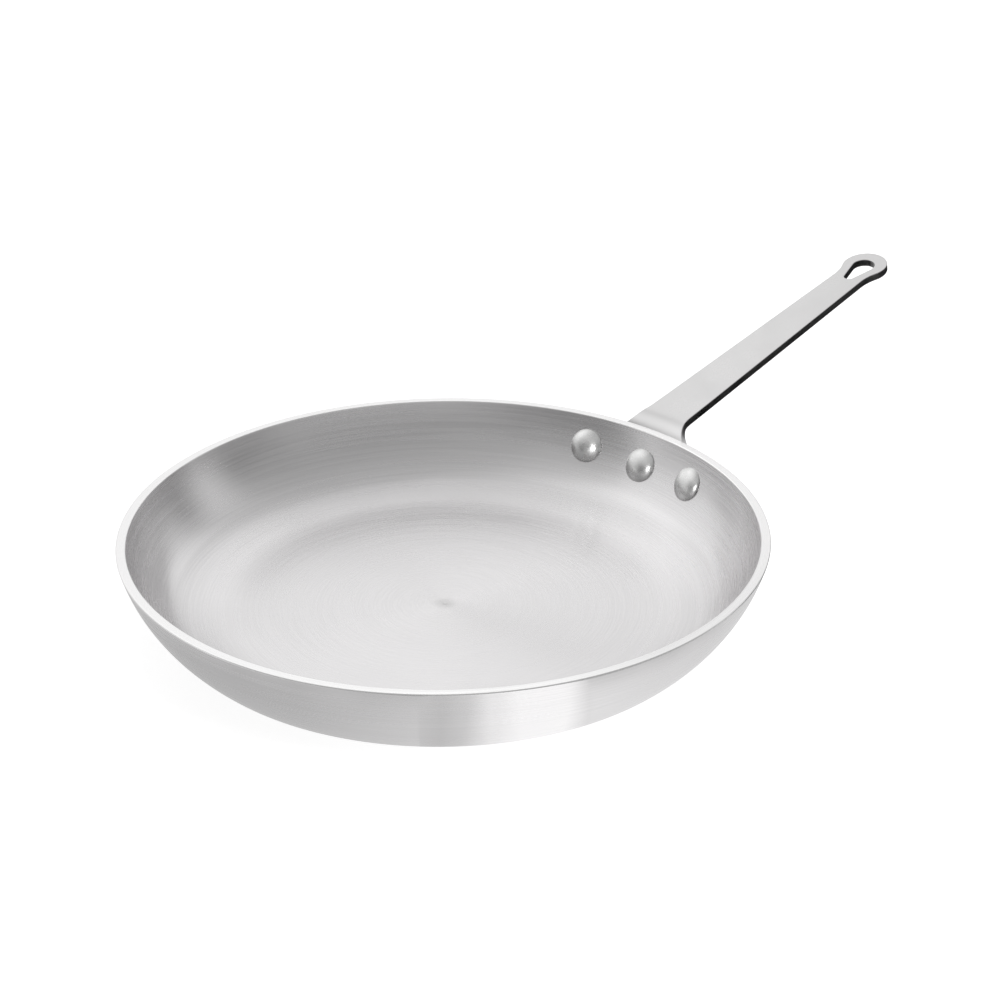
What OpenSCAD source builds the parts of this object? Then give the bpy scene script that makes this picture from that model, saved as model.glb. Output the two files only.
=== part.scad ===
// Omelette pan: a spun aluminium pan with a flat steel handle, held on by three rivets.
// Millimetres. +Z is up and the handle points along +X.
// The origin is the centre of the underside of the base.

/* [Pan] */
// Outside diameter of the rim
pan_d = 305; // [260:5:340]
// Height from the underside of the base to the rim
pan_h = 44; // [40:1:50]
// Thickness of the metal, the same in wall and base
wall_t = 4.5; // [3:0.5:6]
// Outside radius of the wall's bulge, seen from the side
wall_curve_r = 79.5; // [72:0.5:100]
// Lean of the wall from upright at the rim, in degrees
rim_lean = 14.5; // [10:0.5:18]
// Outside radius where the wall turns into the base
base_round = 15; // [10:1:20]
// Inside radius from the floor up into the wall, where the metal is thickest
floor_round = 28; // [20:1:30]
// Chamfer on both edges of the rim
rim_chamfer = 0.6; // [0.2:0.1:1]

/* [Handle strip] */
// Thickness of the steel strip
strip_t = 4; // [2:0.5:5]
// Width of the strip in line with the rim's edge, before the flare
strip_root_w = 25.9; // [22:0.1:30]
// Width of the strip in line with the centre of the eye
strip_eye_w = 16.9; // [14:0.1:20]
// Distance along the strip from the rim's edge to the centre of the eye
handle_l = 178.5; // [150:0.5:220]
// Climb of the strip from level, in degrees
handle_rise = 12; // [6:0.5:18]
// Height of the strip's upper face above the rim, in line with the rim's edge
handle_lift = 4; // [3:0.5:6]
// Outside radius of the bend down to the wall
bend_r = 13; // [10:0.5:16]
// Distance along the strip from the rim's edge to where the flare starts
flare_start = 13; // [9:0.5:15]
// Radius of the flare on both sides of the strip's root
flare_r = 20; // [18:0.5:24]

/* [Hanging eye] */
// Outside diameter of the eye
eye_d = 24.4; // [21:0.2:28]
// Radius that blends the strip into the eye
eye_blend_r = 25; // [15:1:35]
// Diameter of the wide end of the hole
hole_d = 12.2; // [9:0.2:13]
// Diameter of the narrow end of the hole
hole_tip_d = 5.8; // [4:0.2:8]
// Distance between the centres of the hole's two ends
hole_run = 12.7; // [8:0.1:16]
// Distance from the centre of the eye back to the centre of the hole's wide end
hole_back = 1.2; // [0:0.1:3]

/* [Rivets and flange] */
// Sideways distance from one rivet to the next, inside the wall
rivet_pitch = 33.6; // [28:0.1:40]
// Depth of the outer rivets below the rim, inside the wall
rivet_drop = 14.4; // [12:0.1:17]
// How much lower the centre rivet sits
centre_drop = 1.5; // [0:0.1:3]
// Diameter of a rivet's shank
shank_d = 8; // [5:0.5:9]
// Diameter of the domed head inside the pan
head_d = 17.2; // [14:0.2:19]
// Height of the domed head
head_h = 3.6; // [2.5:0.1:5]
// Diameter of the closed tail behind the flange
tail_d = 14; // [12:0.5:17]
// Height of the closed tail
tail_h = 2.6; // [2:0.1:4]
// Distance from a rivet's centre to the edge of the flange
flange_edge = 11; // [9:0.5:13]
// Radius of the flange's corners
flange_round = 9; // [6:0.5:11]
// Radius between the flange's top edge and the neck above it
neck_round = 6; // [3:0.5:8]

/* [Clearances] */
// Radial clearance of a shank in its holes
shank_gap = 0.05; // [0.02:0.01:0.1]
// Clearance between faces that are riveted together
seat_gap = 0.05; // [0.02:0.01:0.1]

/* [Hidden] */
$fn = 144;

// colours
aluminium = [0.80, 0.81, 0.82];
steel = [0.62, 0.63, 0.65];
rivet_metal = [0.90, 0.90, 0.91];

// Rounds are this much too large, so that they cross the faces that they join
overcut = 0.02;
// How far a cutting shape runs past what it cuts
past = 5;
// A wedge reaches this many times past the disc that it cuts
wedge_reach = 1.5;

// wall, in the plane of radius and height: centre of the bulge, then centre of the base round
rim_r = pan_d / 2;
inner_r = wall_curve_r - wall_t;
bulge_c = [rim_r - wall_curve_r * cos(rim_lean), pan_h + wall_curve_r * sin(rim_lean)];
round_a = corner_fall(wall_curve_r, base_round, 0);
round_c = bulge_c + ray(round_a, wall_curve_r - base_round);
rim_inner_r = bulge_c[0] + sqrt(pow(inner_r, 2) - pow(bulge_c[1] - pan_h, 2));

// sheet of the handle: the flange's two faces, then the centre of the bend
flange_in_r = wall_curve_r + seat_gap;
flange_out_r = flange_in_r + strip_t;
bulge_uv = turned(bulge_c - on_strip(0, 0), -handle_rise);
bend_u = bulge_uv[0] + sqrt(pow(flange_in_r + bend_r, 2) - pow(bulge_uv[1] + bend_r, 2));
bend_c = on_strip(bend_u, -bend_r);
bend_a = asin((bulge_c[1] - bend_c[1]) / (flange_in_r + bend_r));

// outline of the strip: its edges lean by taper_a, and the flare's centre lies beside its root
taper_a = atan((strip_root_w - strip_eye_w) / 2 / handle_l);
flare_c = [flare_start + flare_r * sin(taper_a), strip_half(flare_start) + flare_r * cos(taper_a)];
flare_past = 2;

// centre of the blend from strip to eye
eye_r = eye_d / 2;
edge_off = strip_eye_w / 2 * cos(taper_a);
blend_run = sqrt(pow(eye_r + eye_blend_r, 2) - pow(edge_off + eye_blend_r, 2));
blend_c = [handle_l, 0] + turned([-blend_run, edge_off + eye_blend_r], -taper_a);

// rivets: fall of each axis below level, and the angle round the pan from one to the next
side_a = rivet_fall(rivet_drop);
centre_a = rivet_fall(rivet_drop + centre_drop);
rivet_turn = asin(rivet_pitch / (bulge_c[0] + inner_r * cos(side_a)));

// straight lip round the foot of a head or tail, and how far that foot runs on into the curved seat
lip_h = 0.9;
foot_h = 1;

// flange, seen along +X: half width, top edge and lowest edge
flange_w = (bulge_c[0] + flange_out_r * cos(side_a)) * sin(rivet_turn) + flange_edge;
flange_top = bulge_c[1] - flange_out_r * sin(side_a) + flange_edge;
flange_low = bulge_c[1] - flange_out_r * sin(centre_a) - flange_edge;

// half the sector of the pan that holds the flange
sheet_a = asin((flange_w + past) / round_c[0]);

// point at a distance from the origin, along a line that falls by an angle
function ray(a, l) = [l * cos(a), -l * sin(a)];

// fall below level of the point where a face of the wall meets the round above a face of the base
function corner_fall(face_r, corner_r, base_z) = asin((bulge_c[1] - base_z - corner_r) / (face_r - corner_r));

function turned(p, a) = [p[0] * cos(a) - p[1] * sin(a), p[0] * sin(a) + p[1] * cos(a)];

// point in the plane of radius and height: u along the strip's upper face, v square to it
function on_strip(u, v) = [rim_r, pan_h + handle_lift] + turned([u, v], handle_rise);

function strip_half(u) = strip_root_w / 2 - u * tan(taper_a);

function flare_half(u) = flare_c[1] - sqrt(pow(flare_r, 2) - pow(flare_c[0] - u, 2));

function rivet_fall(drop) = asin((bulge_c[1] - pan_h + drop) / inner_r);

module both_sides(across) {
    children();
    mirror(across) children();
}

// slice of a disc, between two angles below level, that reaches past its rim
module wedge(from_a, to_a, r) {
    reach = r * wedge_reach;
    polygon([[0, 0], ray(from_a, reach), ray((from_a + to_a) / 2, reach), ray(to_a, reach)]);
}

// part of a flat ring
module ring_sector(r_in, r_out, from_a, to_a) {
    intersection() {
        difference() {
            circle(r_out);
            circle(r_in);
        }
        wedge(from_a, to_a, r_out);
    }
}

// what a round of radius r takes off a corner, between two angles below level
module corner_waste(r, from_a, to_a) {
    difference() {
        wedge(from_a, to_a, r + past);
        circle(r + overcut);
    }
}

// everything inside one face of the wall and above one face of the base
module bowl_fill(face_r, corner_r, base_z) {
    corner_a = corner_fall(face_r, corner_r, base_z);
    difference() {
        union() {
            translate(bulge_c) circle(face_r);
            translate([-past, 0]) square([bulge_c[0] + past, pan_h + past]);
        }
        translate([-pan_d, base_z - pan_d]) square([2 * pan_d, pan_d]);
        translate(bulge_c + ray(corner_a, face_r - corner_r)) corner_waste(corner_r, corner_a, 90);
    }
}

// the wall and base, cut off level at the rim with both of its edges chamfered
module pan_profile() {
    outer_edge = rim_r - rim_chamfer;
    inner_edge = rim_inner_r + rim_chamfer;
    intersection() {
        difference() {
            bowl_fill(wall_curve_r, base_round, 0);
            bowl_fill(inner_r, floor_round, wall_t);
        }
        polygon([
            [0, -past],
            [outer_edge + past, -past],
            [outer_edge + past, pan_h - past],
            [outer_edge, pan_h],
            [inner_edge, pan_h],
            [inner_edge - past, pan_h - past],
            [0, pan_h - past]
        ]);
    }
}

// moves a shape to a rivet's axis, with +Z outwards from the centre of the bulge
module on_rivet_axis(turn, fall) {
    rotate([0, 0, turn]) translate([bulge_c[0], 0, bulge_c[1]]) rotate([0, 90 + fall, 0]) children();
}

module shank_hole(turn, fall) {
    on_rivet_axis(turn, fall)
        translate([0, 0, inner_r - past])
            cylinder(h = wall_t + strip_t + 2 * past, r = shank_d / 2 + shank_gap);
}

module shank_holes() {
    shank_hole(rivet_turn, side_a);
    shank_hole(0, centre_a);
    shank_hole(-rivet_turn, side_a);
}

module pan_body() {
    color(aluminium) difference() {
        rotate_extrude() pan_profile();
        shank_holes();
    }
}

// everything below one face of the strip and outside the same face of bend and flange
module sheet_underside(face_v, flange_r, face_bend_r) {
    reach = handle_l + pan_d;
    difference() {
        translate(on_strip(0, face_v))
            rotate(handle_rise)
                translate([-reach, -reach])
                    square([2 * reach, reach]);
        translate(bulge_c) circle(flange_r);
        translate(bend_c) corner_waste(face_bend_r, 180 + bend_a, 270 - handle_rise);
    }
}

// the handle's thickness, seen from the side: flange, bend and strip
module sheet_profile() {
    intersection() {
        difference() {
            sheet_underside(0, flange_in_r, bend_r);
            sheet_underside(-strip_t, flange_out_r, bend_r - strip_t);
        }
        translate([round_c[0], flange_low - past]) square([pan_d + handle_l, pan_d + handle_l]);
    }
}

// the strip from above: tapered edges, flare at the root, blend and disc at the eye
module strip_outline() {
    translate([handle_l, 0]) circle(eye_r);
    both_sides([0, 1]) {
        polygon([
            [-flare_past, -past],
            [handle_l, -past],
            [handle_l, strip_eye_w / 2],
            [flare_start, strip_half(flare_start)],
            [-flare_past, strip_half(flare_start)]
        ]);
        difference() {
            polygon([[-flare_past, 0], [flare_c[0], 0], flare_c, [-flare_past, flare_c[1]]]);
            translate(flare_c) circle(flare_r + overcut);
        }
        difference() {
            polygon([[handle_l - blend_run, 0], [handle_l, 0], blend_c]);
            translate(blend_c) circle(eye_blend_r + overcut);
        }
    }
}

// teardrop: two discs and the straight sides between them
module eye_hole() {
    wide_u = handle_l - hole_back;
    tip_u = wide_u - hole_run;
    lean_a = asin((hole_d - hole_tip_d) / 2 / hole_run);
    across = [-sin(lean_a), cos(lean_a)];
    wide_side = [wide_u, 0] + across * (hole_d / 2 - overcut);
    tip_side = [tip_u, 0] + across * (hole_tip_d / 2 - overcut);
    translate([wide_u, 0]) circle(hole_d / 2);
    translate([tip_u, 0]) circle(hole_tip_d / 2);
    polygon([tip_side, wide_side, [wide_side[0], -wide_side[1]], [tip_side[0], -tip_side[1]]]);
}

// the flange from behind: a rounded rectangle with the neck above it
module flange_outline() {
    half_h = (flange_top - flange_low) / 2;
    neck_c = [flare_half(strip_t) + neck_round, flange_top + neck_round];
    translate([0, flange_low + half_h]) difference() {
        square([2 * flange_w, 2 * half_h], center = true);
        for (from_a = [0:90:270]) {
            corner = ray(from_a + 45, sqrt(2));
            translate([corner[0] * (flange_w - flange_round), corner[1] * (half_h - flange_round)])
                corner_waste(flange_round, from_a, from_a + 90);
        }
    }
    both_sides([1, 0]) difference() {
        polygon([[0, flange_top - past], [neck_c[0], flange_top - past], neck_c, [0, neck_c[1]]]);
        translate(neck_c) circle(neck_round + overcut);
    }
}

module strip_block() {
    depth = handle_lift + bend_r;
    translate([rim_r, 0, pan_h + handle_lift])
        rotate([0, -handle_rise, 0])
            translate([0, 0, -depth])
                linear_extrude(depth + past) difference() {
                    strip_outline();
                    eye_hole();
                }
}

module flange_block() {
    translate([round_c[0], 0, 0])
        rotate([90, 0, 90])
            linear_extrude(rim_r - round_c[0] + bend_r) flange_outline();
}

// the sheet is a ring round the pan, trimmed by the outlines of strip and flange
module handle() {
    color(steel) difference() {
        intersection() {
            rotate([0, 0, -sheet_a]) rotate_extrude(angle = 2 * sheet_a) sheet_profile();
            union() {
                strip_block();
                flange_block();
            }
        }
        shank_holes();
    }
}

// domed disc on z = 0, with its foot carried on below
module button(d, h) {
    dome_h = h - lip_h;
    dome_r = (pow(d / 2, 2) + pow(dome_h, 2)) / (2 * dome_h);
    rotate_extrude() intersection() {
        union() {
            translate([0, h - dome_r]) circle(dome_r + overcut);
            translate([0, -foot_h]) square([d, foot_h + lip_h]);
        }
        translate([0, -foot_h]) square([d / 2, foot_h + h + past]);
    }
}

// solid ring round the pan between two faces that share the centre of the bulge
module wall_ring(r_in, r_out) {
    rotate([0, 0, -sheet_a]) rotate_extrude(angle = 2 * sheet_a)
        translate(bulge_c) ring_sector(r_in, r_out, 0, round_a);
}

module rivet(turn, fall) {
    head_at = inner_r - seat_gap;
    tail_at = flange_out_r + seat_gap;
    color(rivet_metal) {
        on_rivet_axis(turn, fall)
            translate([0, 0, head_at - lip_h / 2])
                cylinder(h = tail_at - head_at + lip_h, r = shank_d / 2);
        difference() {
            on_rivet_axis(turn, fall) translate([0, 0, head_at]) rotate([180, 0, 0]) button(head_d, head_h);
            wall_ring(head_at, wall_curve_r);
        }
        difference() {
            on_rivet_axis(turn, fall) translate([0, 0, tail_at]) button(tail_d, tail_h);
            wall_ring(wall_curve_r, tail_at);
        }
    }
}

module rivet_left() {
    rivet(rivet_turn, side_a);
}

module rivet_centre() {
    rivet(0, centre_a);
}

module rivet_right() {
    rivet(-rivet_turn, side_a);
}

pan_body();
handle();
rivet_left();
rivet_centre();
rivet_right();
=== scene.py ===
# Omelette pan: turned aluminium bowl, plated steel strip handle and three rivets.
# Sizes are written in millimetres and turned into metres where a mesh is made.
import math

import bpy
import numpy as np
from mathutils import Matrix, Vector
from mathutils.geometry import delaunay_2d_cdt


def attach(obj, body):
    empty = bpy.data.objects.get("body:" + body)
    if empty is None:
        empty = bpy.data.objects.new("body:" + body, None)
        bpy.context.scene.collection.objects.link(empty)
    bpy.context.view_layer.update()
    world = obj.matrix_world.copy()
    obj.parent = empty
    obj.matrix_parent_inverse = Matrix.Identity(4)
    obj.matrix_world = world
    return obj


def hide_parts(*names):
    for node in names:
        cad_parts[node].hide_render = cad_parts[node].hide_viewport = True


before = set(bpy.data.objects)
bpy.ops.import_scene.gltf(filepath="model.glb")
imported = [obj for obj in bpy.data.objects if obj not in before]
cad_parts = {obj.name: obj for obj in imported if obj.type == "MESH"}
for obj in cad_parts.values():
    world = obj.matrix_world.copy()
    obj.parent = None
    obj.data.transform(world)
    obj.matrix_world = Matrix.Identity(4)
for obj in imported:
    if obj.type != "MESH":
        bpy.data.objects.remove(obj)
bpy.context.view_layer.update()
mm = 0.001

bowlSizes = {
    "rimRadius": 152.5,
    "height": 44.0,
    "wall": 4.5,
    "bulgeRadius": 79.5,  # outside of the wall, seen from the side
    "rimLean": 14.5,  # degrees from upright at the rim
    "baseRound": 15.0,  # outside
    "floorRound": 28.0,  # inside, from the floor up into the wall
    "floorEase": 21.0,  # how far the round's ends run out into floor and wall
    "easeHalf": 11.0,  # height where the easing is down to a half
    "easeEnd": 19.0,  # height where it ends, below the rivets
    "rimEdge": 0.6,  # rounding of both rim edges
    "dimpleDepth": 0.12,  # the lathe centre's mark
    "dimpleRadius": 1.6,
    "stepsRound": 288,
}

# rings that only carry the mesh over the flat of the floor and of the underside
floorRings = (2, 4, 8, 14, 22, 32, 44, 56)
underRings = (117.2, 115, 110, 102, 92, 80, 68, 56, 44, 32, 22, 14, 8, 4, 1.5)


def cosD(a):
    return math.cos(math.radians(a))


def sinD(a):
    return math.sin(math.radians(a))


def asinD(x):
    return math.degrees(math.asin(x))


# the wall's bulge is one circle spun round the pan; its centre stands above the rim
bulgeX = bowlSizes["rimRadius"] - bowlSizes["bulgeRadius"] * cosD(bowlSizes["rimLean"])
bulgeZ = bowlSizes["height"] + bowlSizes["bulgeRadius"] * sinD(bowlSizes["rimLean"])
wallInside = bowlSizes["bulgeRadius"] - bowlSizes["wall"]


def fallArc(centre, radius, startFall, endFall, steps):
    # points round a centre, at angles that fall below level
    out = []
    for i in range(steps + 1):
        a = startFall + (endFall - startFall) * i / steps
        out.append((centre[0] + radius * cosD(a), centre[1] - radius * sinD(a)))
    return out


def touchingRound(outerRadius, radius, rise):
    # a round that rests at the height rise and meets the bulge from inside: where it is, and where they meet
    fall = asinD((bulgeZ - rise - radius) / (outerRadius - radius))
    return (bulgeX + (outerRadius - radius) * cosD(fall), rise + radius), fall


def easeFloorRound(points, s):
    # walks up the inside at even steps and averages over a reach that dies out below the rivets
    fineStep, ringStep = 0.1, 1.0
    p = np.array(points)
    run = np.concatenate([[0], np.cumsum(np.hypot(*np.diff(p, axis=0).T))])
    fine = np.arange(0, run[-1], fineStep)
    fineR, fineZ = np.interp(fine, run, p[:, 0]), np.interp(fine, run, p[:, 1])
    out = []
    for at in np.arange(0, run[-1] - ringStep / 2, ringStep):
        z = np.interp(at, run, p[:, 1])
        fade = np.interp(z, (s["wall"], s["easeHalf"], s["easeEnd"]), (1, 0.5, 0))
        reach = min(s["floorEase"] * fade, at)
        near = np.abs(fine - at) <= reach + 0.51 * fineStep
        out.append((float(fineR[near].mean()), float(fineZ[near].mean())))
    return out + [points[-1]]


def bowlProfile(s):
    # from the middle of the floor, up the inside, over the rim, down the outside, back to the middle
    h, t, e = s["height"], s["wall"], s["rimEdge"]
    inner, outer = s["bulgeRadius"] - t, s["bulgeRadius"]
    floorCentre, floorFall = touchingRound(inner, s["floorRound"], t)
    baseCentre, baseFall = touchingRound(outer, s["baseRound"], 0.0)
    innerRimX = bulgeX + math.sqrt((inner + e) ** 2 - (bulgeZ - h + e) ** 2)
    innerFall = asinD((bulgeZ - h + e) / (inner + e))
    outerRimX = bulgeX + math.sqrt((outer - e) ** 2 - (bulgeZ - h + e) ** 2)
    outerFall = asinD((bulgeZ - h + e) / (outer - e))

    points = [(0.0, t - s["dimpleDepth"])]
    for i in range(1, 7):
        depth = s["dimpleDepth"] * (0.5 + 0.5 * math.cos(math.pi * i / 6))
        points.append((s["dimpleRadius"] * i / 6, t - depth))
    points += [(r, t) for r in floorRings]
    inside = [(66, t)] + fallArc(floorCentre, s["floorRound"], 90, floorFall, 120)
    inside += fallArc((bulgeX, bulgeZ), inner, floorFall - 0.1, innerFall + 0.05, 200)
    points += easeFloorRound(inside, s)
    points += fallArc((innerRimX, h - e), e, innerFall - 180, -90, 7)
    points += [(innerRimX + 0.08, h), (outerRimX - 0.08, h)]
    points += fallArc((outerRimX, h - e), e, -90, outerFall, 7)
    points += fallArc((bulgeX, bulgeZ), outer, outerFall + 0.05, baseFall - 0.3, 34)
    points += fallArc(baseCentre, s["baseRound"], baseFall, 90, 16)
    points += [(r, 0.0) for r in underRings]
    return points + [(0.0, 0.0)]


def meshObject(name, points, faces, sharpAngle=40):
    mesh = bpy.data.meshes.new(name)
    mesh.from_pydata([tuple(c * mm for c in p) for p in points], [], faces)
    mesh.validate()
    mesh.update()
    mesh.shade_smooth()
    mesh.set_sharp_from_angle(angle=math.radians(sharpAngle))
    piece = bpy.data.objects.new(name, mesh)
    bpy.context.scene.collection.objects.link(piece)
    return piece


def spin(rows, steps):
    # rows of points from one pole to the other; the first and last rows hold one point each
    points, first, faces = [], [], []
    for row in rows:
        first.append(len(points))
        points += row
    for k in range(len(rows) - 1):
        a, b = first[k], first[k + 1]
        for j in range(steps):
            n = (j + 1) % steps
            if len(rows[k]) == 1:
                faces.append((a, b + j, b + n))
            elif len(rows[k + 1]) == 1:
                faces.append((a + j, b, a + n))
            else:
                faces.append((a + j, b + j, b + n, a + n))
    return points, faces


def ringRow(r, z, steps):
    if r < 1e-6:
        return [(0.0, 0.0, z)]
    turns = [2 * math.pi * j / steps for j in range(steps)]
    return [(r * math.cos(a), r * math.sin(a), z) for a in turns]


rivetSizes = {
    "pitch": 33.6,  # sideways, inside the wall
    "drop": 14.4,  # outer rivets below the rim
    "centreDrop": 1.5,  # how much lower the middle one sits
    "shankRadius": 4.0,
    "holeRadius": 4.05,
    "headRadius": 8.6,
    "headHeight": 3.6,
    "headEdge": 0.45,  # height of the head's upright side
    "headCurve": (2.1, 0.62),  # (2, 0.5) is an ellipse, (2, 1) a parabola
    "tailRadius": 7.0,
    "tailHeight": 2.6,
    "tailEdge": 0.4,
    "tailCurve": (2.2, 0.6),
    "stepsRound": 72,
    "drillReach": (66.0, 88.0),  # from the bulge's centre, well past both faces of the wall
    "drillSteps": 48,
}

# the rounded edges that lie on the metal: how far in from the full radius, and how far off the seat
headEdgeRows = ((0.02, -0.3), (0.1, -0.14), (0.3, 0.0))
tailEdgeRows = ((0.25, 0.0), (0.08, 0.12), (0.01, 0.28))

stripThickness = 4.0
seatGap = 0.05  # between faces that are riveted tight
flangeInside = bowlSizes["bulgeRadius"] + seatGap
flangeOutside = flangeInside + stripThickness


def rivetFall(drop):
    # degrees below level, seen from the bulge's centre
    return asinD((bulgeZ - bowlSizes["height"] + drop) / wallInside)


sideFall = rivetFall(rivetSizes["drop"])
centreFall = rivetFall(rivetSizes["drop"] + rivetSizes["centreDrop"])
rivetTurn = asinD(rivetSizes["pitch"] / (bulgeX + wallInside * cosD(sideFall)))
rivetPlaces = {
    "rivetLeft": (rivetTurn, sideFall, "rivet_left"),
    "rivetCentre": (0.0, centreFall, "rivet_centre"),
    "rivetRight": (-rivetTurn, sideFall, "rivet_right"),
}


def rivetAxis(turn, fall):
    # start on the ring of bulge centres, then the way out and two ways across
    start = Vector((bulgeX * cosD(turn), bulgeX * sinD(turn), bulgeZ))
    out = Vector((cosD(fall) * cosD(turn), cosD(fall) * sinD(turn), -sinD(fall)))
    across = Vector((-sinD(turn), cosD(turn), 0))
    return start, out, across, out.cross(across)


def bulgeDistance(p):
    return math.hypot(math.hypot(p.x, p.y) - bulgeX, p.z - bulgeZ)


def makeRivet(name, turn, fall, s):
    start, out, across, upward = rivetAxis(turn, fall)
    steps = s["stepsRound"]

    def place(radius, along, seat=None):
        # a seated row is measured from the curved metal that it lies on
        row = []
        for j in range(1 if radius < 1e-6 else steps):
            a = 2 * math.pi * j / steps
            side = across * (radius * math.cos(a)) + upward * (radius * math.sin(a))
            d = along
            if seat is not None:
                for _ in range(8):
                    d += seat + along - bulgeDistance(start + out * d + side)
            row.append(tuple(start + out * d + side))
        return row

    def dome(radius, height, edge, curve, at, way, count):
        # rows from the top of a dome down to its side
        rows = []
        for i in range(count + 1):
            x = math.sin(math.pi / 2 * i / count)
            rise = edge + (height - edge) * (1 - x ** curve[0]) ** curve[1]
            rows.append(place(radius * x, at + way * rise))
        return rows

    headAt = wallInside - seatGap
    tailAt = flangeOutside + seatGap
    rows = dome(s["headRadius"], s["headHeight"], s["headEdge"], s["headCurve"], headAt, -1, 18)
    rows += [place(s["headRadius"] - inset, off, headAt) for inset, off in headEdgeRows]
    rows += [place(s["shankRadius"], 0.0, headAt), place(s["shankRadius"], 0.0, tailAt)]
    rows += [place(s["tailRadius"] - inset, off, tailAt) for inset, off in tailEdgeRows]
    tail = dome(s["tailRadius"], s["tailHeight"], s["tailEdge"], s["tailCurve"], tailAt, 1, 14)
    points, faces = spin(rows + tail[::-1], steps)
    return meshObject(name, points, faces, 50)


def makeDrill(turn, fall, s):
    start, out, across, upward = rivetAxis(turn, fall)
    steps = s["drillSteps"]
    turns = [2 * math.pi * j / steps for j in range(steps)]
    near, far = (start + out * d for d in s["drillReach"])
    sides = [(across * math.cos(a) + upward * math.sin(a)) * s["holeRadius"] for a in turns]
    rows = [[tuple(near)], [tuple(near + v) for v in sides], [tuple(far + v) for v in sides], [tuple(far)]]
    points, faces = spin(rows, steps)
    return meshObject("drill", points, faces)


def drillHoles(piece, s):
    # one cut for each shank
    for turn, fall, _ in rivetPlaces.values():
        drill = makeDrill(turn, fall, s)
        cut = piece.modifiers.new("hole", "BOOLEAN")
        cut.object = drill
        cut.operation = "DIFFERENCE"
        cut.solver = "EXACT"
        bpy.context.view_layer.update()
        cutPiece = piece.evaluated_get(bpy.context.evaluated_depsgraph_get())
        cutMesh = bpy.data.meshes.new_from_object(cutPiece)
        piece.modifiers.clear()
        piece.data = cutMesh
        bpy.data.objects.remove(drill)
    piece.data.name = piece.name
    piece.data.set_sharp_from_angle(angle=math.radians(40))


def makeBowl(s):
    rows = [ringRow(r, z, s["stepsRound"]) for r, z in bowlProfile(s)]
    points, faces = spin(rows, s["stepsRound"])
    piece = meshObject("bowl", points, faces)
    drillHoles(piece, rivetSizes)
    return piece


# a flat blank, cut to an outline, then bent over the rim and round the wall
handleSizes = {
    "rootWidth": 25.9,  # in line with the rim's edge, as if there were no flare
    "eyeWidth": 16.9,  # in line with the centre of the eye
    "length": 178.5,  # from the rim's edge to the centre of the eye
    "rise": 12.0,  # degrees
    "lift": 4.0,  # above the rim, in line with its edge
    "bendRadius": 13.0,  # upper face
    "wrapStart": 26.0,  # from here inward the flat strip begins to wrap round the pan
    "wrapRun": 18.0,
    "flareStart": 13.0,
    "flareRadius": 24.0,
    "neckRadius": 6.0,
    "eyeRadius": 12.2,
    "eyeBlend": 25.0,
    "holeRadius": 6.1,
    "holeTipRadius": 2.9,
    "holeRun": 12.7,
    "holeBack": 1.2,
    "flangeEdge": 11.0,
    "flangeRound": 9.0,
    "upperEdge": 0.3,  # rounding of the sheared edges
    "lowerEdge": 0.25,
    "meshPitch": 1.9,
    "meshEdgeClear": 1.1,  # between the outline and the nearest point of the grid
}


def turned(p, a):
    return (p[0] * cosD(a) - p[1] * sinD(a), p[0] * sinD(a) + p[1] * cosD(a))


stripStart = (bowlSizes["rimRadius"], bowlSizes["height"] + handleSizes["lift"])


def findBend(s):
    # the circle that touches the strip's upper face and the flange's inside:
    # how far along the strip, its centre, its fall seen from the bulge, and its length
    reach = flangeInside + s["bendRadius"]
    bulge = turned((bulgeX - stripStart[0], bulgeZ - stripStart[1]), -s["rise"])
    u = bulge[0] + math.sqrt(reach ** 2 - (bulge[1] + s["bendRadius"]) ** 2)
    offset = turned((u, -s["bendRadius"]), s["rise"])
    centre = (stripStart[0] + offset[0], stripStart[1] + offset[1])
    fall = asinD((bulgeZ - centre[1]) / reach)
    return u, centre, fall, math.radians(90 - fall - s["rise"]) * s["bendRadius"]


bendU, bendCentre, bendFall, bendLength = findBend(handleSizes)


def flangeU(fall):
    # how far along the blank a place on the flange lies
    return bendU - bendLength - math.radians(fall - bendFall) * flangeInside


def handleSection(u):
    # u runs along the upper face, from the flange's low edge to the tip; gives a point and the face's normal
    rise, bend = handleSizes["rise"], handleSizes["bendRadius"]
    if u >= bendU:
        p = turned((u, 0), rise)
        return (stripStart[0] + p[0], stripStart[1] + p[1]), (-sinD(rise), cosD(rise))
    run = bendU - u
    if run <= bendLength:
        a = 90 + rise + math.degrees(run / bend)
        n = (cosD(a), sinD(a))
        return (bendCentre[0] + bend * n[0], bendCentre[1] + bend * n[1]), n
    a = bendFall + math.degrees((run - bendLength) / flangeInside)
    return (bulgeX + flangeInside * cosD(a), bulgeZ - flangeInside * sinD(a)), (-cosD(a), sinD(a))


def placeOnHandle(u, y, depth):
    # the flange and bend wrap round the pan, the strip beyond them is flat
    (r, z), n = handleSection(u)
    rDeep, zDeep = r - depth * n[0], z - depth * n[1]
    x = min(max((handleSizes["wrapStart"] - u) / handleSizes["wrapRun"], 0), 1)
    wrap = x * x * (3 - 2 * x)
    a = math.asin(y / r)
    return (
        rDeep * math.cos(a) * wrap + rDeep * (1 - wrap),
        rDeep * math.sin(a) * wrap + y * (1 - wrap),
        zDeep,
    )


def flatArc(centre, radius, startAngle, endAngle, pitch=0.7):
    steps = max(4, int(abs(math.radians(endAngle - startAngle)) * radius / pitch))
    angles = [startAngle + (endAngle - startAngle) * i / steps for i in range(steps + 1)]
    return [(centre[0] + radius * cosD(a), centre[1] + radius * sinD(a)) for a in angles]


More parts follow.
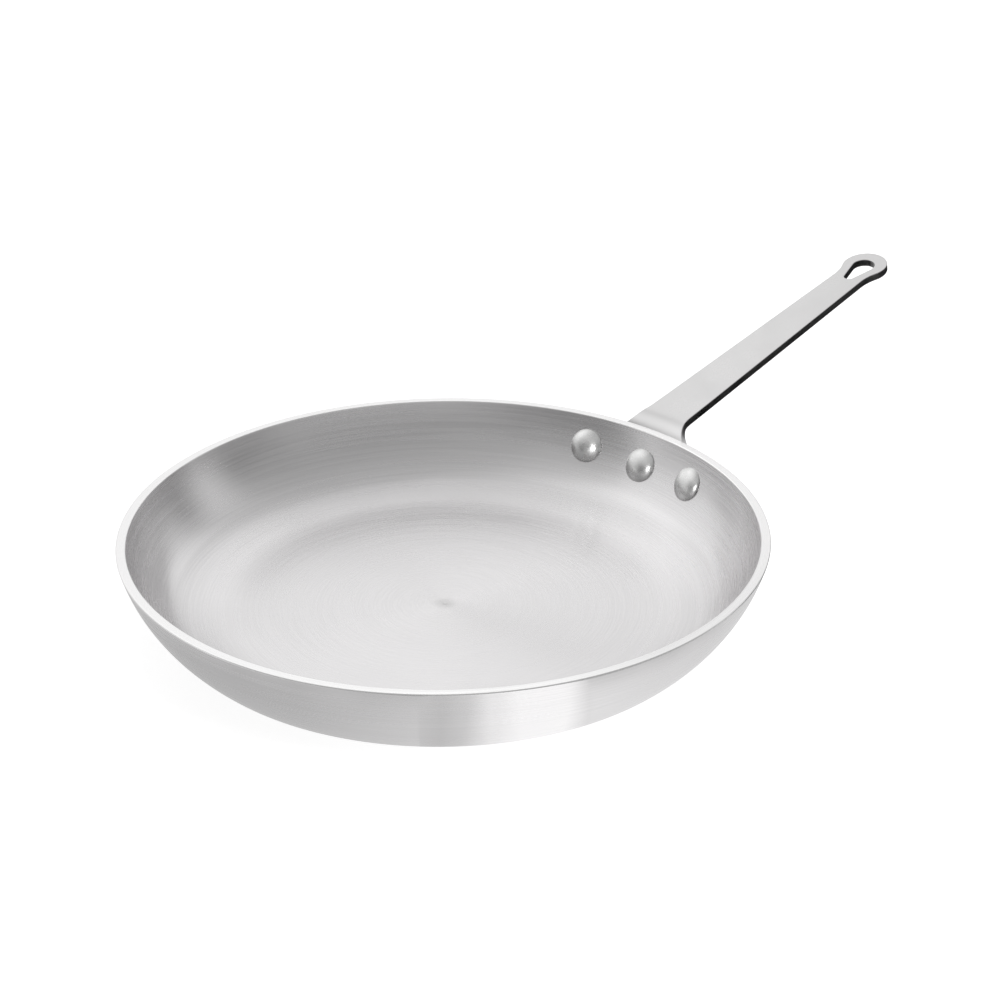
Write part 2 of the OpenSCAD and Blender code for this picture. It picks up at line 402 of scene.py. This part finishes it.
def joinLoop(points, pitch=2.2):
    # closes the loop and cuts its long straight runs into short ones
    out = []
    for i, p in enumerate(points):
        q = points[(i + 1) % len(points)]
        gap = math.dist(p, q)
        if gap < 1e-4:
            continue
        steps = max(1, round(gap / pitch))
        out += [tuple(a + (b - a) * k / steps for a, b in zip(p, q)) for k in range(steps)]
    return out


def handleOutline(s):
    lean = math.degrees(math.atan((s["rootWidth"] - s["eyeWidth"]) / 2 / s["length"]))
    eyeOff = s["eyeWidth"] / 2 * cosD(lean)
    blendRun = math.sqrt((s["eyeRadius"] + s["eyeBlend"]) ** 2 - (eyeOff + s["eyeBlend"]) ** 2)
    blend = turned((-blendRun, eyeOff + s["eyeBlend"]), -lean)
    eyeTurn = math.degrees(math.atan2(blend[1], blend[0]))

    midFlange = flangeInside + stripThickness / 2
    halfWidth = (bulgeX + flangeInside * cosD(sideFall)) * sinD(rivetTurn) + s["flangeEdge"]
    topZ = bulgeZ - flangeOutside * sinD(sideFall) + s["flangeEdge"]
    lowZ = bulgeZ - flangeOutside * sinD(centreFall) - s["flangeEdge"]
    topU = flangeU(asinD((bulgeZ - topZ) / midFlange))
    lowU = flangeU(asinD((bulgeZ - lowZ) / midFlange))

    flare, neck, corner = s["flareRadius"], s["neckRadius"], s["flangeRound"]
    flareEdge = s["rootWidth"] / 2 - s["flareStart"] * math.tan(math.radians(lean))
    flareCentre = (s["flareStart"] + flare * sinD(lean), flareEdge + flare * cosD(lean))
    neckU = topU + neck
    neckCentre = (neckU, flareCentre[1] - math.sqrt((flare - neck) ** 2 - (flareCentre[0] - neckU) ** 2))
    neckTurn = 180 + math.degrees(math.atan2(flareCentre[1] - neckCentre[1], flareCentre[0] - neckU))

    half = flatArc((s["length"], 0), s["eyeRadius"], 0, eyeTurn)
    half += flatArc((s["length"] + blend[0], blend[1]), s["eyeBlend"], eyeTurn + 180, 270 - lean)
    half += flatArc(flareCentre, flare, 270 - lean, neckTurn)
    half += flatArc(neckCentre, neck, neckTurn, 180)
    half += flatArc((topU - corner, halfWidth - corner), corner, 0, 90)
    half += flatArc((lowU + corner, halfWidth - corner), corner, 90, 180)
    half.append((lowU, 0))
    return joinLoop(half + [(u, -y) for u, y in reversed(half[1:-1])])


def handleHoles(s):
    wide = s["length"] - s["holeBack"]
    lean = asinD((s["holeRadius"] - s["holeTipRadius"]) / s["holeRun"])
    eye = flatArc((wide, 0), s["holeRadius"], -90 - lean, 90 + lean, 0.45)
    eye += flatArc((wide - s["holeRun"], 0), s["holeTipRadius"], 90 + lean, 270 - lean, 0.45)
    loops = [joinLoop(eye, 1.0)]
    radius = rivetSizes["holeRadius"]
    for turn, fall, _ in rivetPlaces.values():
        u, y = flangeU(fall), (bulgeX + flangeInside * cosD(fall)) * sinD(turn)
        loops.append([(u + radius * cosD(a), y + radius * cosD(turn) * sinD(a)) for a in range(0, 360, 8)])
    return loops


def moveLoop(loop, distance, isHole):
    # moves a loop sideways into the metal
    p = np.array(loop)
    forward = np.roll(p, -1, 0) - p
    forward /= np.linalg.norm(forward, axis=1)[:, None]
    left = np.stack([-forward[:, 1], forward[:, 0]], 1)
    n = left + np.roll(left, 1, 0)
    n /= np.linalg.norm(n, axis=1)[:, None]
    return p + n * (-distance if isHole else distance)


def insideLoop(points, loop):
    x, y = points[:, 0][:, None], points[:, 1][:, None]
    a, b = loop, np.roll(loop, -1, 0)
    crosses = (a[:, 1] > y) != (b[:, 1] > y)
    rise = np.where(b[:, 1] == a[:, 1], 1e-12, b[:, 1] - a[:, 1])
    at = a[:, 0] + (y - a[:, 1]) * (b[:, 0] - a[:, 0]) / rise
    return ((crosses & (x < at)).sum(1) % 2) == 1


def insideMetal(points, loops):
    # inside the outline, which is the first loop, and outside the holes
    inside = insideLoop(points, loops[0])
    for hole in loops[1:]:
        inside &= ~insideLoop(points, hole)
    return inside


def fillBlank(loops, pitch, edgeClear):
    # triangles over the blank, between its outline and its holes
    outline = loops[0]
    grid = []
    for k, u in enumerate(np.arange(outline[:, 0].min(), outline[:, 0].max(), pitch)):
        grid += [(u, y + (pitch / 2 if k % 2 else 0)) for y in np.arange(-60, 60, pitch)]
    grid = np.array(grid)
    grid = grid[insideMetal(grid, loops)]
    edge = np.concatenate(loops)
    near = np.min(np.linalg.norm(grid[:, None, :] - edge[None, :, :], axis=2), axis=1)
    points = np.concatenate([edge, grid[near > edgeClear]])

    edges, at = [], 0
    for loop in loops:
        edges += [(at + i, at + (i + 1) % len(loop)) for i in range(len(loop))]
        at += len(loop)
    verts, _, tris, origins, _, _ = delaunay_2d_cdt([Vector(p) for p in points], edges, [], 0, 1e-5)
    source = [o[0] for o in origins]
    middles = np.array([np.mean([verts[i] for i in t], axis=0) for t in tris])
    faces = []
    for t, keep in zip(tris, insideMetal(middles, loops)):
        if keep:
            a, b, c = (verts[i] for i in t)
            order = [source[i] for i in t]
            faces.append(order if (b - a).cross(c - a) > 0 else order[::-1])
    return points, faces


def makeHandle(s):
    t, up, low = stripThickness, s["upperEdge"], s["lowerEdge"]
    loops = [np.array(handleOutline(s))] + [np.array(h) for h in handleHoles(s)]
    # how far in and how deep each ring of the edge lies, from the upper face to the lower one
    quarter = (0, 22.5, 45, 67.5, 90)
    rings = [(up + 0.05, 0.0)]
    rings += [(up * (1 - sinD(a)), up * (1 - cosD(a))) for a in quarter]
    rings += [(0.0, up + 0.05), (0.0, t - low - 0.05)]
    rings += [(low * (1 - cosD(a)), t - low * (1 - sinD(a))) for a in quarter]
    rings += [(low + 0.05, t)]

    upperLoops = [moveLoop(loop, rings[0][0], k > 0) for k, loop in enumerate(loops)]
    blank, tris = fillBlank(upperLoops, s["meshPitch"], s["meshEdgeClear"])
    points = [placeOnHandle(u, y, 0.0) for u, y in blank]
    faces = [tuple(f) for f in tris]
    ringStart = [0]
    for inset, depth in rings[1:-1]:
        ringStart.append(len(points))
        for k, loop in enumerate(loops):
            points += [placeOnHandle(u, y, depth) for u, y in moveLoop(loop, inset, k > 0)]
    ringStart.append(len(points))
    edgeCount = sum(len(loop) for loop in loops)
    lowerLoops = np.concatenate([moveLoop(loop, rings[-1][0], k > 0) for k, loop in enumerate(loops)])
    points += [placeOnHandle(u, y, t) for u, y in np.concatenate([lowerLoops, blank[edgeCount:]])]
    faces += [tuple(ringStart[-1] + i for i in reversed(f)) for f in tris]
    for upper, lower in zip(ringStart, ringStart[1:]):
        at = 0
        for k, loop in enumerate(loops):
            for i in range(len(loop)):
                j = (i + 1) % len(loop)
                quad = (upper + at + i, lower + at + i, lower + at + j, upper + at + j)
                faces.append(quad if k == 0 else quad[::-1])
            at += len(loop)
    return meshObject("handleStrip", points, faces, 50)


class Nodes:
    # short names for the few things that a material needs
    def __init__(self, name):
        self.material = bpy.data.materials.new(name)
        self.material.use_nodes = True
        self.tree = self.material.node_tree
        self.shader = self.tree.nodes["Principled BSDF"]

    def add(self, kind, **settings):
        node = self.tree.nodes.new(kind)
        for key, value in settings.items():
            setattr(node, key, value)
        return node

    def feed(self, node, socket, value):
        target = node.inputs[socket]
        if hasattr(value, "is_output"):
            self.tree.links.new(value, target)
        else:
            target.default_value = value

    def maths(self, operation, a, b):
        node = self.add("ShaderNodeMath", operation=operation)
        self.feed(node, 0, a)
        self.feed(node, 1, b)
        return node.outputs[0]

    def blend(self, a, b, shareOfA):
        return self.maths("ADD", self.maths("MULTIPLY", a, shareOfA), self.maths("MULTIPLY", b, 1 - shareOfA))

    def objectPlace(self):
        return self.add("ShaderNodeTexCoord").outputs["Object"]

    def scaled(self, place, scale):
        node = self.add("ShaderNodeVectorMath", operation="MULTIPLY")
        self.feed(node, 0, place)
        self.feed(node, 1, scale)
        return node.outputs[0]

    def split(self, place):
        node = self.add("ShaderNodeSeparateXYZ")
        self.feed(node, 0, place)
        return node.outputs

    def noise(self, place, scale, detail, roughness, w=None):
        node = self.add("ShaderNodeTexNoise", noise_dimensions="3D" if w is None else "4D")
        self.feed(node, "Vector", place)
        self.feed(node, "Scale", scale)
        self.feed(node, "Detail", detail)
        self.feed(node, "Roughness", roughness)
        if w is not None:
            self.feed(node, "W", w)
        return node.outputs[0]

    def spread(self, value, low, high, outLow=0.0, outHigh=1.0):
        # a soft step from low to high
        node = self.add("ShaderNodeMapRange", interpolation_type="SMOOTHSTEP")
        for i, number in enumerate((value, low, high, outLow, outHigh)):
            self.feed(node, i, number)
        return node.outputs[0]

    def mixColour(self, factor, first, second):
        node = self.add("ShaderNodeMix", data_type="RGBA")
        self.feed(node, "Factor", factor)
        for socket, colour in ((6, first), (7, second)):
            self.feed(node, socket, (*colour, 1.0) if isinstance(colour, tuple) else colour)
        return node.outputs[2]

    def bump(self, height, strength, distance, normal=None):
        node = self.add("ShaderNodeBump")
        self.feed(node, "Strength", strength)
        self.feed(node, "Distance", distance)
        self.feed(node, "Height", height)
        if normal is not None:
            self.feed(node, "Normal", normal)
        return node.outputs[0]


def shade(colour, share):
    return tuple(min(1, v * share) for v in colour)


# lengths in metres
bowlFinish = {
    "colour": (0.805, 0.795, 0.80),
    "lineShades": (0.963, 1.02),  # between the turning marks and on them
    "roughness": (0.22, 0.29),
    "anisotropy": 0.88,
    "fineLine": 0.0009,  # from one turning mark to the next
    "fineBreak": 2.0,  # how often a mark breaks off on its way round
    "fineDepth": 0.000012,
    "broadLine": 0.0026,
    "broadBreak": 1.7,
    "broadDepth": 0.00006,
    "rimColour": (0.975, 0.97, 0.97),  # faced bright
    "rimFade": (0.0009, 0.0003),  # from and to, below the rim's face
    "edgeShadeColour": (0.88, 0.875, 0.875),  # painted shade: a darker line along the rim's rounded outer edge
    "edgeShadeFade": (0.0007, 0.0003),  # from and to, inside the rim's radius
    "spotColour": (0.5, 0.5, 0.495),  # the dull spot that the lathe's centre leaves
    "spotRadius": 0.0075,
    "spotStrength": 0.5,
    "spotHeight": (0.002, 0.004),  # above the underside, which has no spot
}


def turnedAluminium(f):
    m = Nodes("turnedAluminium")
    where = m.objectPlace()
    flat = m.scaled(where, (1, 1, 0))
    height = m.split(where)[2]
    toward = m.add("ShaderNodeVectorMath", operation="NORMALIZE")
    m.feed(toward, 0, flat)
    way = m.split(toward.outputs[0])
    length = m.add("ShaderNodeVectorMath", operation="LENGTH")
    m.feed(length, 0, flat)
    radius = length.outputs["Value"]

    def rings(pitch, breakUp):
        # marks that run round the pan, and change slowly on the way
        place = m.add("ShaderNodeCombineXYZ")
        m.feed(place, 0, m.maths("MULTIPLY", radius, 1 / pitch))
        m.feed(place, 1, m.maths("MULTIPLY", height, 1 / pitch))
        m.feed(place, 2, m.maths("MULTIPLY", way[0], breakUp))
        return m.noise(place.outputs[0], 1.0, 1.0, 0.55, m.maths("MULTIPLY", way[1], breakUp))

    fine = rings(f["fineLine"], f["fineBreak"])
    broad = rings(f["broadLine"], f["broadBreak"])
    cloud = m.noise(where, 14.0, 3.0, 0.5)
    lines = m.blend(fine, broad, 0.7)
    dark, light = (shade(f["colour"], share) for share in f["lineShades"])
    sheet = m.mixColour(m.spread(lines, 0.36, 0.62), dark, light)
    rimHeight, rimRadius = bowlSizes["height"] * mm, bowlSizes["rimRadius"] * mm
    rim = m.spread(height, *(rimHeight - below for below in f["rimFade"]))
    # painted shade: the rim's rounded outer edge is darkened in its colour
    edge = m.spread(radius, *(rimRadius - within for within in f["edgeShadeFade"]))
    faced = m.mixColour(rim, sheet, f["rimColour"])
    rimEdgeShaded = m.mixColour(m.maths("MULTIPLY", rim, edge), faced, f["edgeShadeColour"])
    spot = m.spread(radius, 0.0, f["spotRadius"], f["spotStrength"], 0.0)
    inside = m.spread(height, *f["spotHeight"])
    m.feed(m.shader, "Base Color", m.mixColour(m.maths("MULTIPLY", spot, inside), rimEdgeShaded, f["spotColour"]))
    m.feed(m.shader, "Metallic", 1.0)
    m.feed(m.shader, "Roughness", m.spread(m.blend(lines, cloud, 0.6), 0.35, 0.65, *f["roughness"]))
    m.feed(m.shader, "Anisotropic", f["anisotropy"])
    m.feed(m.shader, "Anisotropic Rotation", 0.25)
    tangent = m.add("ShaderNodeTangent", direction_type="RADIAL", axis="Z")
    m.feed(m.shader, "Tangent", tangent.outputs[0])
    wide = m.bump(broad, 0.02, f["broadDepth"])
    m.feed(m.shader, "Normal", m.bump(fine, 0.03, f["fineDepth"], wide))
    return m.material


# lengths in metres, scales in turns of the noise per metre
stripFinish = {
    "colour": (0.645, 0.64, 0.64),
    "cloudShades": (0.955, 1.03),
    "roughness": (0.27, 0.36),
    "grainScale": 2600.0,
    "grainStretch": 0.12,  # along the strip
    "grainDepth": 0.000008,
    "cloudScale": 38.0,
    "rippleScale": 55.0,
    "rippleDepth": 0.00012,
    "bendLightColour": (0.80, 0.795, 0.795),  # painted light round the bend, lifting the shade that the bend's turn shows
    "bendLightFade": (0.1535, 0.1625),  # where that fades, from the pan's centre
}


def platedSteel(f):
    m = Nodes("platedSteel")
    where = m.objectPlace()
    grain = m.noise(m.scaled(where, (f["grainStretch"], 1.0, 1.0)), f["grainScale"], 2.0, 0.6)
    cloud = m.noise(where, f["cloudScale"], 4.0, 0.55)
    ripple = m.noise(where, f["rippleScale"], 1.0, 0.4)
    dark, light = (shade(f["colour"], share) for share in f["cloudShades"])
    sheet = m.mixColour(m.spread(cloud, 0.3, 0.7), dark, light)
    # painted light: the strip's colour is made brighter round the bend and fades out along it
    bend = m.spread(m.split(where)[0], *f["bendLightFade"], 1.0, 0.0)
    m.feed(m.shader, "Base Color", m.mixColour(bend, sheet, f["bendLightColour"]))
    m.feed(m.shader, "Metallic", 1.0)
    m.feed(m.shader, "Roughness", m.spread(m.blend(cloud, grain, 0.7), 0.38, 0.62, *f["roughness"]))
    wave = m.bump(ripple, 0.5, f["rippleDepth"])
    m.feed(m.shader, "Normal", m.bump(grain, 0.25, f["grainDepth"], wave))
    return m.material


rivetFinish = {
    "colour": (0.83, 0.83, 0.825),
    "speckShades": (0.95, 1.02),
    "roughness": (0.24, 0.33),
    "dentScale": 230.0,
    "dentDepth": 0.00018,
    "speckScale": 1500.0,
    "speckDepth": 0.00001,
}


def rivetAluminium(f):
    m = Nodes("rivetAluminium")
    where = m.objectPlace()
    dents = m.noise(where, f["dentScale"], 2.0, 0.5)
    specks = m.noise(where, f["speckScale"], 2.0, 0.6)
    dark, light = (shade(f["colour"], share) for share in f["speckShades"])
    m.feed(m.shader, "Base Color", m.mixColour(m.spread(specks, 0.3, 0.7), dark, light))
    m.feed(m.shader, "Metallic", 1.0)
    m.feed(m.shader, "Roughness", m.spread(dents, 0.35, 0.65, *f["roughness"]))
    m.feed(m.shader, "Normal", m.bump(specks, 0.2, f["speckDepth"], m.bump(dents, 0.5, f["dentDepth"])))
    return m.material


# the photograph's camera
cameraSizes = {
    "place": (-740.53, -741.27, 572.31),
    "aim": (75.69, 35.74, 20.0),
    "roll": -0.198,  # degrees
    "lens": 90.29,
    "sensor": 36,
}


def setCamera(s):
    lens = bpy.data.cameras.new("camera")
    lens.lens = s["lens"]
    lens.sensor_width = s["sensor"]
    lens.clip_start = 0.01
    camera = bpy.data.objects.new("camera", lens)
    place, aim = Vector(s["place"]) * mm, Vector(s["aim"]) * mm
    turn = (place - aim).to_track_quat("Z", "Y").to_matrix().to_4x4()
    roll = Matrix.Rotation(math.radians(s["roll"]), 4, "Z")
    camera.matrix_world = Matrix.Translation(place) @ turn @ roll
    bpy.context.scene.collection.objects.link(camera)
    bpy.context.scene.camera = camera


# places round the pan are given in degrees to the right of the camera and in metres
studioSizes = {
    "cameraTurn": 223.59,  # degrees from the handle round to the camera, seen from above
    "middle": 0.03,  # height of the point that the lamps look at
    "floorHalf": 6.0,
    "floorDrop": 0.0002,  # below the base
    "floorGrey": 0.6,
    "floorGlow": 0.74,
    "worldGlow": 0.5,
    "domeRadius": 3.2,
    "domeHeights": (64, 42, 26, 12, 0),  # degrees above level
    "floorRings": (1.0, 0.42, 0.25, 0.16),
    "domeTurns": 24,
    "topGrey": 0.5,
    "domeGrey": 0.5,
    "ringGrey": 0.85,
    "underGrey": 0.85,
    "shellDrop": 0.0001,
    "patchLift": 0.0004,
}

# degrees to the right, degrees above level, metres away, width, height, watts
lamps = {
    "keyLamp": (55, 48, 1.8, 1.2, 1.2, 14),
    "topLamp": (170, 70, 1.9, 1.4, 1.4, 10),
    "rivetLamp": (344, 24, 1.1, 0.4, 0.28, 1.7),
}

# what brightens or darkens the dome: degrees to the right, degrees above level,
# half the width and half the height in degrees, and the grey added in the middle
domeCards = {
    "windowWall": (245, 44, 55, 26, 0.7),
    "brightPane": (180, 42, 15, 18, 0.75),
    "rightWall": (130, 16, 30, 22, 0.75),
    "rightGap": (125, 10, 10, 18, -1.2),
    "sideGap": (85, 12, 10, 10, -0.6),
    "backStrip": (225, 14, 25, 10, 0.5),
    "leftStrip": (285, 0, 10, 8, 1.35),
    "leftGap": (290, 6, 10, 40, -0.5),
    "leftShade": (315, 8, 25, 24, -0.3),
    "frontShade": (25, 30, 80, 12, -0.25),
}

# the same for the floor: degrees to the right, metres from the middle, half the width in degrees,
# how far it spreads as a share of its distance, and the grey added
floorShades = {
    "panShade": (40, 0.24, 40, 0.3, -0.7),
    "nearGlow": (20, 0.15, 35, 0.3, 0.4),
    "frontFall": (0, 0.5, 40, 1.0, -0.5),
    "leftFall": (295, 0.14, 70, 0.3, -0.4),
    "nearGap": (0, 0.25, 10, 0.3, -0.35),
}

# corners of the dark patch behind the handle: degrees to the right, metres from the middle
darkPatch = ((98, 0.19), (165, 0.19), (158, 2.8), (82, 2.8))

# the light strip in front: degrees to the right and the grey there, between two distances
brightPatch = ((-4, 0.7), (0, 0.66), (4, 0.74), (10, 1.05), (16, 1.2), (25, 1.2), (31, 0.9))
brightReach = (0.125, 0.6)


def studioWay(side):
    turn = studioSizes["cameraTurn"] + side
    return Vector((cosD(turn), sinD(turn), 0))


def floorPoint(side, away, lift):
    # millimetres, for a mesh
    way = studioWay(side) * away / mm
    return (way.x, way.y, lift / mm)


def areaLamp(name):
    side, height, distance, width, tall, power = lamps[name]
    lamp = bpy.data.lights.new(name, "AREA")
    lamp.shape = "RECTANGLE"
    lamp.size, lamp.size_y = width, tall
    lamp.energy = power
    thing = bpy.data.objects.new(name, lamp)
    away = (studioWay(side) * cosD(height) + Vector((0, 0, sinD(height)))) * distance
    thing.location = away + Vector((0, 0, studioSizes["middle"]))
    thing.rotation_euler = away.to_track_quat("Z", "Y").to_euler()
    thing.visible_glossy = False  # the shell shapes what the metal shows
    bpy.context.scene.collection.objects.link(thing)
    return thing


def backdropShare(tree):
    # 1 for rays that should see the plain backdrop: camera, glossy and transmission rays
    path = tree.nodes.new("ShaderNodeLightPath")
    share = path.outputs["Is Camera Ray"]
    for other in ("Is Glossy Ray", "Is Transmission Ray"):
        either = tree.nodes.new("ShaderNodeMath")
        either.operation = "MAXIMUM"
        tree.links.new(share, either.inputs[0])
        tree.links.new(path.outputs[other], either.inputs[1])
        share = either.outputs[0]
    return share


def paintGreys(piece, greys):
    # a glowing paper in the greys of its points, seen only in the metal
    m = Nodes(piece.name + "Paper")
    m.tree.nodes.remove(m.shader)
    glow = m.add("ShaderNodeEmission")
    paint = m.add("ShaderNodeAttribute", attribute_name="level")
    m.feed(glow, "Strength", paint.outputs["Fac"])
    m.feed(m.tree.nodes["Material Output"], 0, glow.outputs[0])
    piece.data.attributes.new("level", "FLOAT", "POINT").data.foreach_set("value", greys)
    piece.data.materials.append(m.material)
    piece.visible_camera = False
    piece.visible_diffuse = False
    piece.visible_shadow = False
    piece.visible_transmission = False


def softGrey(base, cards, side, offset):
    # cards that fade out from their middle like a soft lamp; offset gives the distance up or out
    grey = base
    for middle, place, halfWide, halfTall, added in cards.values():
        across = ((side - middle + 180) % 360 - 180) / halfWide
        grey += added * math.exp(-across ** 2 - (offset(place) / halfTall) ** 2)
    return max(grey, 0.0)


def studioShell(s):
    # a dome over the floor, painted with the greys that the metal shows
    radius, drop = s["domeRadius"], -s["shellDrop"]
    sides = [360 * j / s["domeTurns"] for j in range(s["domeTurns"])]
    rows, greys = [[(0.0, 0.0, radius / mm)]], [s["topGrey"]]
    for height in s["domeHeights"]:
        away, lift = radius * cosD(height), radius * sinD(height) + drop
        rows.append([floorPoint(side, away, lift) for side in sides])
        greys += [softGrey(s["domeGrey"], domeCards, side, lambda at: height - at) for side in sides]
    for away in s["floorRings"]:
        rows.append([floorPoint(side, away, drop) for side in sides])
        outward = lambda at: math.log(away / at)
        greys += [softGrey(s["ringGrey"], floorShades, side, outward) for side in sides]
    rows.append([(0.0, 0.0, drop / mm)])
    greys.append(s["underGrey"])
    points, faces = spin(rows, s["domeTurns"])
    paintGreys(meshObject("studioShell", points, faces), greys)


def floorPatches(lift):
    points = [floorPoint(side, away, lift) for side, away in darkPatch]
    paintGreys(meshObject("darkPatch", points, [tuple(range(len(points)))]), [0.0] * len(points))
    points = [floorPoint(side, away, lift) for away in brightReach for side, _ in brightPatch]
    n = len(brightPatch)
    faces = [(i, i + 1, n + i + 1, n + i) for i in range(n - 1)]
    paintGreys(meshObject("brightPatch", points, faces), [grey for _, grey in brightPatch] * 2)


def setFloor(s):
    # pale paper that keeps the pan's shadow
    m = Nodes("floorPaper")
    m.feed(m.shader, "Base Color", (s["floorGrey"],) * 3 + (1,))
    m.feed(m.shader, "Roughness", 0.9)
    m.feed(m.shader, "Specular IOR Level", 0.0)
    glow = m.add("ShaderNodeEmission")
    m.feed(glow, "Strength", m.maths("MULTIPLY", backdropShare(m.tree), s["floorGlow"]))
    both = m.add("ShaderNodeAddShader")
    m.feed(both, 0, m.shader.outputs[0])
    m.feed(both, 1, glow.outputs[0])
    m.feed(m.tree.nodes["Material Output"], 0, both.outputs[0])
    half, z = s["floorHalf"] / mm, -s["floorDrop"] / mm
    corners = [(-half, -half, z), (half, -half, z), (half, half, z), (-half, half, z)]
    floor = meshObject("floor", corners, [(0, 1, 2, 3)])
    floor.data.materials.append(m.material)


def setWorld(s):
    # white to the camera and in the metal, a plain grey as a light
    world = bpy.data.worlds.new("studio")
    bpy.context.scene.world = world
    world.use_nodes = True
    tree = world.node_tree
    mix = tree.nodes.new("ShaderNodeMapRange")
    tree.links.new(backdropShare(tree), mix.inputs["Value"])
    mix.inputs["To Min"].default_value = s["worldGlow"]
    mix.inputs["To Max"].default_value = 1.0
    back = tree.nodes["Background"]
    back.inputs["Color"].default_value = (1, 1, 1, 1)
    tree.links.new(mix.outputs[0], back.inputs["Strength"])


def dress(piece, material, node):
    piece.data.materials.append(material)
    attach(piece, "root")
    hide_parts(node)


scene = bpy.context.scene
scene.view_settings.view_transform = "Standard"
setCamera(cameraSizes)
setFloor(studioSizes)
setWorld(studioSizes)
areaLamp("keyLamp")
areaLamp("topLamp")
studioShell(studioSizes)
floorPatches(studioSizes["patchLift"])
print("studio set")

dress(makeBowl(bowlSizes), turnedAluminium(bowlFinish), "pan_body")
print("bowl made")
dress(makeHandle(handleSizes), platedSteel(stripFinish), "handle")
print("handle made")

rivetMetal = rivetAluminium(rivetFinish)
rivetGroup = bpy.data.collections.new("rivets")
scene.collection.children.link(rivetGroup)
for name, (turn, fall, node) in rivetPlaces.items():
    rivet = makeRivet(name, turn, fall, rivetSizes)
    dress(rivet, rivetMetal, node)
    rivetGroup.objects.link(rivet)
# a small bright lamp that only the polished rivet heads show
glint = areaLamp("rivetLamp")
glint.visible_glossy = True
glint.light_linking.receiver_collection = rivetGroup
print("rivets made")
